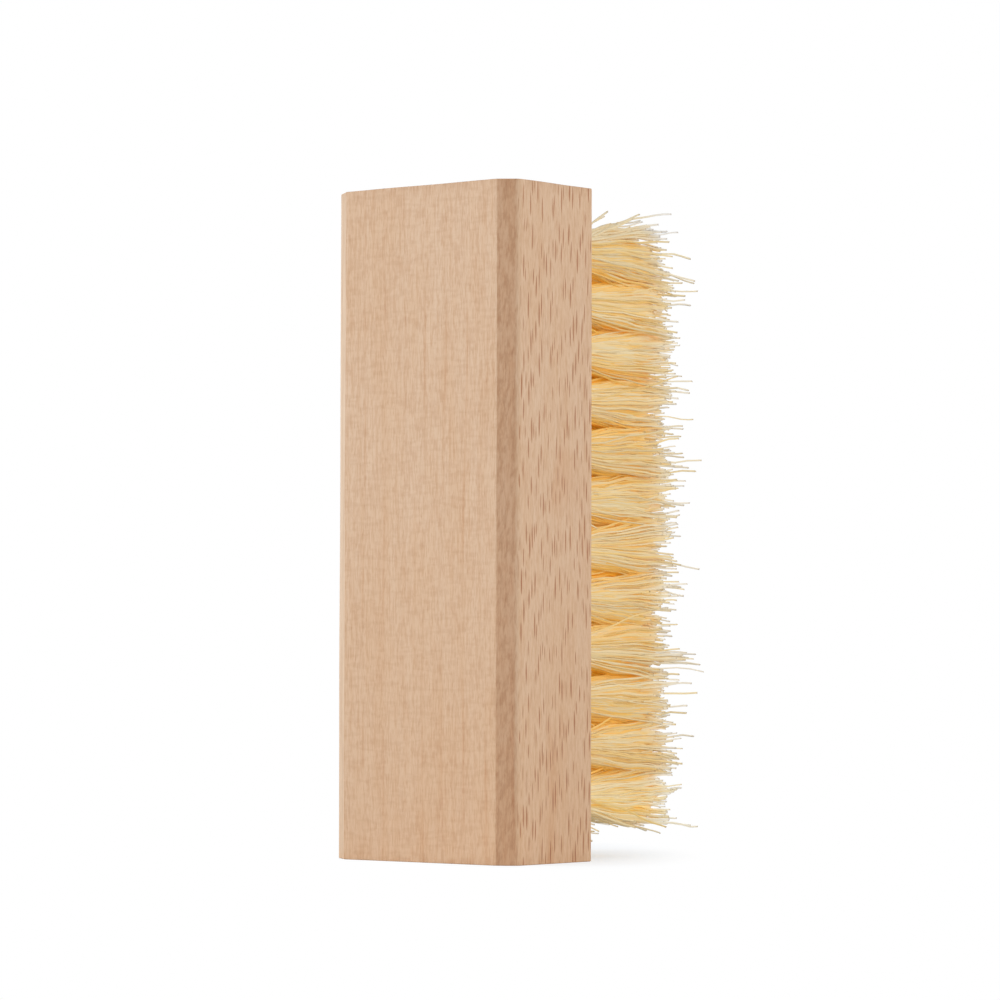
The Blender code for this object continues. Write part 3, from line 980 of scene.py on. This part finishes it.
def core_skin(row, column, chance):
    """The core's points off its axis: x, z, reach and tone.

    A point is the axis plus the bundle's radius times a share. Every second side is a ridge. The ridges
    swing to and fro, they part into locks near the tips, and each lock ends at its own length.
    """
    level = np.array(CORE_LEVELS)[:, None]
    side = np.arange(CORE_SIDES)
    lock = side * CORE_LOCKS // CORE_SIDES
    angle = (2 * math.pi * side / CORE_SIDES)[None, :]
    phase = chance.uniform(0, 2 * math.pi, 6)
    lock_end = chance.uniform(0.78, 0.92, CORE_LOCKS)[lock] + chance.uniform(-0.02, 0.02, CORE_SIDES)
    reach = level * np.where(level > 0, lock_end, 1.0)

    def swing(size, beat, start, turns):
        return size * np.sin(beat * reach + phase[start] + turns * angle)

    twist = swing(0.05, 8, 0, 2) + swing(0.03, 19, 1, 3) + swing(0.012, 38, 2, 7)
    swell = swing(0.12, 5, 3, 3) + swing(0.08, 11, 4, 8)
    turned = angle + twist * smooth(reach, 0.0, 0.2)
    share = CORE_SHARE * (1 - 0.08 * smooth(level, 0.5, 0.9) - 0.3 * smooth(level, 0.88, 1.0))
    ridge = np.where(side % 2, 0.09, -0.07) + chance.normal(0, 0.04, CORE_SIDES)
    inside = side * CORE_LOCKS / CORE_SIDES - lock
    valley = 0.5 * np.cos(2 * math.pi * (inside + 0.08)) * smooth(level, 0.5, 1.0)
    radius = bundle_radius(reach) * share * squareness(turned, reach)
    radius += ridge - valley + swell * smooth(reach, 0.0, 0.3)
    lean_x, lean_z = field_lean(row, column, reach)
    x, z = radius * np.cos(turned), squash_end(radius * np.sin(turned), column, CORE_SQUASH)

    own = chance.random(CORE_SIDES)
    lengths = np.arange(len(level)) * TONE_LENGTHS // len(level)
    along = chance.random((TONE_LENGTHS, CORE_SIDES))[lengths]
    tone = np.clip(0.5 + 1.5 * (0.55 * own + 0.45 * along - 0.5), 0, 1)
    tone += (0.5 - tone) * smooth(level, 0.75, 0.92)
    return x + lean_x, z + lean_z, reach, tone


def core_faces(stations):
    """Quads round the core and a fan of triangles to the middle of each end, with their UV corners."""
    quads = ring_quads(stations, CORE_SIDES)[..., [1, 0, 3, 2]].reshape(-1, 4)
    side = np.arange(CORE_SIDES)
    after = (side + 1) % CORE_SIDES
    last = (stations - 1) * CORE_SIDES
    pole = last + CORE_SIDES
    fans = [(side, after, pole), (last + after, last + side, pole + 1)]
    fans = np.concatenate([np.stack(np.broadcast_arrays(*fan), axis=1) for fan in fans])

    left, middle, right = ((side + share) / CORE_SIDES for share in (0, 0.5, 1))
    height = np.linspace(*CORE_SHEET, stations)[:, None]
    low, high, bottom, top = height[:-1], height[1:], height[0], height[-1]
    uv = face_uv(right, low, left, low, left, high, right, high)
    fan_uv = [face_uv(left, bottom, right, bottom, middle, bottom)]
    fan_uv.append(face_uv(right, top, left, top, middle, top))
    return quads, fans, uv.reshape(-1, 2), np.concatenate(fan_uv).reshape(-1, 2)


# %% [markdown]
# Each point of a tuft also carries values for the material: how deep it lies in the field, how far
# out it is, its fibre's tone, and whether it is a cut end. The normals are changed as well. A tangle of
# thin tubes takes light in hard flecks and looks darker than soft fibre does, so each normal turns part
# of the way to the side of its tuft and of the field.

# %% Depth and normals
# Pull, and how far past the edge of a side it still counts: to the tuft's side, to the field's right
# side and to its left side
TUFT_PULL, RIGHT_PULL, LEFT_PULL = (1.0, 0.7), (1.7, 0.7), (1.7, 0.25)


def depth_in_field(x, z, reach):
    """How deep a point lies inside the whole field of fibres, in millimetres from its nearest side."""
    spread = bundle_radius(reach)
    bend = np.maximum(reach, 0) ** LEAN_POWER
    side = row_x.max() + spread + SIDE_LEAN * bend - np.abs(x)
    middle = (column_z[0] + column_z[-1]) / 2
    lean = (FIELD_SPLAY + np.where(z > middle, END_LEAN[1], END_LEAN[0])) * bend
    end = column_z[-1] - middle + spread + lean - np.abs(z - middle)
    tips = (1.04 - reach) * TRIM * 0.6
    return np.maximum(np.minimum(np.minimum(side, end), tips), 0.0)


def bundle_normals(mesh, points, place):
    """Normals that turn from each fibre's own side towards the sides of its tuft and of the field.

    The tuft's side is the direction from its leaning middle to the point, and the field's side is the
    nearer long one. A normal turns only as far as it already faces that way, so the far side of a
    fibre keeps its own shading.
    """
    own = read_vectors(mesh.vertex_normals, "vector")
    lean_x, lean_z = field_lean(*place, (points[:, 1] - FRONT) / TRIM)
    axis_x, axis_z = tuft_axes[place]
    away_x, away_z = points[:, 0] - axis_x - lean_x, points[:, 2] - axis_z - lean_z
    away = np.stack([away_x, 0 * away_x, 0.6 * away_z], axis=1)
    away /= np.maximum(np.linalg.norm(away, axis=1, keepdims=True), 0.5)
    field_side = np.array([[np.sign(axis_x), 0.0, 0.0]])
    turned = own.copy()
    pulls = ((away, TUFT_PULL), (field_side, RIGHT_PULL if axis_x > 0 else LEFT_PULL))
    for side, (pull, slack) in pulls:
        turned += pull * np.clip((own * side).sum(axis=1, keepdims=True) + slack, 0, 1) * side
    return (turned / np.linalg.norm(turned, axis=1, keepdims=True)).tolist()


# %% One tuft
def make_tuft(place, material):
    """One tuft as a mesh of tubes and core, with the values that its material reads at each point."""
    row, column = place
    chance = np.random.default_rng(500 + row * COLUMNS + column)
    axis_x, axis_z = tuft_axes[place]
    x, out, z, reach, tone = fibre_lines(row, column, chance)
    lines = np.stack([x + axis_x, FRONT + out, z + axis_z], axis=-1)
    fibres, stations = x.shape
    radius = FIBRE_RADIUS * chance.uniform(0.8, 1.2, fibres)
    tubes = tube_points(lines, radius, chance.uniform(0, 2 * math.pi, fibres)).reshape(-1, 3)
    quads, caps = tube_faces(fibres, stations)
    quad_uv, cap_uv = strip_uv(fibres, stations)

    core_x, core_z, core_reach, core_tone = core_skin(row, column, chance)
    core = np.stack([core_x + axis_x, FRONT + core_reach * TRIM, core_z + axis_z], axis=-1)
    poles = np.stack([core[0].mean(0), core[-1].mean(0) - [0, 3.0, 0]])
    core_quads, fans, core_uv, fan_uv = core_faces(len(core))
    points = np.concatenate([tubes, core.reshape(-1, 3), poles])
    mesh = mesh_from_arrays(
        f"fibres_row{row + 1}_{column + 1:02d}",
        points,
        np.concatenate([quad_uv, core_uv, cap_uv, fan_uv]),
        np.concatenate([quads, core_quads + len(tubes)]),
        np.concatenate([caps, fans + len(tubes)]),
    )
    mesh.normals_split_custom_set_from_vertices(bundle_normals(mesh, points, place))

    # Each value is given for the fibres, for the core and for the middle of the core's two ends
    end_mark = np.zeros_like(reach)
    end_mark[:, -1] = 1.0
    # The depth sets the painted shade: the core is a little deeper than its fibres, and the middle of
    # its two ends deepest, so that it is painted as deep shade
    fibre_depth = depth_in_field(lines[..., 0], lines[..., 2], reach) / 10.0
    core_depth = depth_in_field(core[..., 0], core[..., 2], core_reach) / 10.0 + 0.04
    values = {
        "tone": (np.broadcast_to(tone[:, None], reach.shape), core_tone, 0.5),
        "depth": (np.clip(fibre_depth, 0, 1), np.clip(core_depth, 0, 1), 1.0),
        "reach": (np.clip(reach, 0, 1.4), core_reach, 0.3),
        "cut_end": (end_mark, np.zeros_like(core_reach), 0.5),
    }
    for name, (on_fibres, on_core, on_middle) in values.items():
        per_point = [np.repeat(on_fibres.ravel(), FIBRE_SIDES), on_core.ravel(), [on_middle] * 2]
        per_point = np.concatenate(per_point).astype(np.float32)
        mesh.attributes.new(name, "FLOAT", "POINT").data.foreach_set("value", per_point)
    mesh.materials.append(material)
    return add_object(mesh.name, mesh)


# %% [markdown]
# # Plant fibre
#
# The fibre is a pale cream at the outside of the brush. Painted shade makes it golden a layer further
# in and deep orange in the gaps between the tufts, where light has passed many fibres. The tips are
# paler and greyer, and the cut ends are brown. The two end tufts are painted paler, as painted light,
# because few fibres stand behind theirs.
#
# Light passes through such thin fibres. A Translucent shader would be the usual way, but it costs a
# tangle of tubes too much light. So the fibre has an ordinary surface, and only for the rays that look
# for a lamp it is a pane of tinted glass.

# %% Plant fibre material
# Cream is the fibre's own colour. Golden and deep orange are painted shade, laid on by depth
CREAM, GOLDEN, DEEP_PAINTED_SHADE = linear(232, 210, 163), linear(240, 201, 118), linear(255, 193, 10)
TIP, CUT_END = linear(238, 229, 210), linear(150, 120, 86)
PASSING_LIGHT = (*linear(255, 238, 190), 1.0)
TONE_TINT, UPPER_PAINTED_LIGHT, LOWER_PAINTED_LIGHT = (1.0, 0.89, 0.6), (0.96, 1.01, 1.14), (1.09, 1.15, 1.24)
# Heights in metres between which the end tufts are painted paler, as painted light
UPPER_PALE, LOWER_PALE = (0.114, 0.120), (0.0185, 0.011)


def make_fibre():
    """The fibre's colour: painted shade by depth, then layers by reach, its own tone and cut ends,
    and last painted light by height.
    """
    material, tree, shader = new_material("plant_fibre", 0.5)
    tone, depth, reach, cut_end = (
        add_node(tree, "Attribute", attribute_name=name).outputs["Fac"]
        for name in ("tone", "depth", "reach", "cut_end")
    )
    depth = math_node(tree, "ADD", depth, smooth_step(tree, tone, 0, 1, -0.08, 0.08))
    place = add_node(tree, "TexCoord").outputs["Object"]
    height = add_node(tree, "SeparateXYZ", {0: place}).outputs[2]
    layers = [
        # Painted shade by depth: golden a layer in, deep orange in the gaps between the tufts
        (smooth_step(tree, depth, 0.0, 0.22), GOLDEN, "MIX"),
        (smooth_step(tree, depth, 0.15, 0.6), DEEP_PAINTED_SHADE, "MIX"),
        (times(tree, smooth_step(tree, reach, 0.65, 1.0), 0.9), TIP, "MIX"),
        (smooth_step(tree, tone, 0.2, 1.0), TONE_TINT),
        (times(tree, cut_end, 0.5), CUT_END, "MIX"),
        # Painted light: the two end tufts are paler, the upper one also greyer
        (smooth_step(tree, height, *UPPER_PALE), UPPER_PAINTED_LIGHT),
        (smooth_step(tree, height, *LOWER_PALE), LOWER_PAINTED_LIGHT),
    ]
    tree.links.new(layered(tree, CREAM, layers), shader.inputs["Base Color"])

    through = add_node(tree, "BsdfTransparent", {"Color": PASSING_LIGHT})
    to_lamp = add_node(tree, "LightPath").outputs["Is Shadow Ray"]
    mix = add_node(tree, "MixShader", {0: to_lamp, 1: shader, 2: through})
    output = next(node for node in tree.nodes if node.type == "OUTPUT_MATERIAL")
    tree.links.new(mix.outputs[0], output.inputs["Surface"])
    return material


# %% All tufts
plant_fibre = make_fibre()
tufts = {}
for place, node in TUFTS.items():
    tufts[place] = make_tuft(place, plant_fibre)
    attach(tufts[place], "root")
    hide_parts(node)
print("tufts:", len(tufts), "faces:", sum(len(t.data.polygons) for t in tufts.values()))
